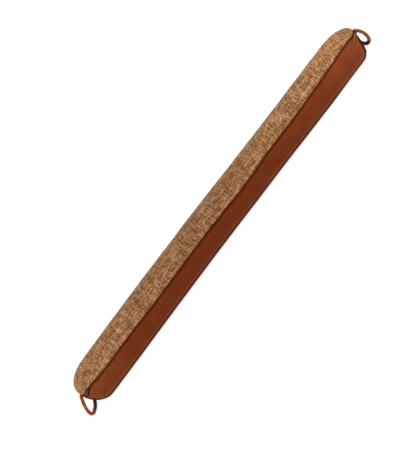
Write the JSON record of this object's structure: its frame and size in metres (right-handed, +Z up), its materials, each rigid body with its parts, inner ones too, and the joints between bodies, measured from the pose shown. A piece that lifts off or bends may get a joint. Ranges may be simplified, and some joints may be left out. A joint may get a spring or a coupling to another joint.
{
  "type": "draught excluder",
  "caption": "Long stuffed door draught excluder, woven cloth above and leather below, with a leather hanging loop at each drawn-in end.",
  "frame": {"origin": "middle of the flat underside, on the surface that it lies on", "axes": "+X along the length, -Y to the front where the seam shows, +Z up"},
  "size_m": [0.9333, 0.0941, 0.0844],
  "materials": {
    "woven_cloth": "tan slubby plain weave, matt",
    "leather": "smooth tan-brown leather, soft sheen",
    "loop_leather": "rolled tan leather, soft sheen"
  },
  "bodies": {
    "root": {"woven_panel": "woven_cloth", "leather_panel": "leather", "loop_left": "loop_leather", "loop_right": "loop_leather"}
  },
  "joints": []
}
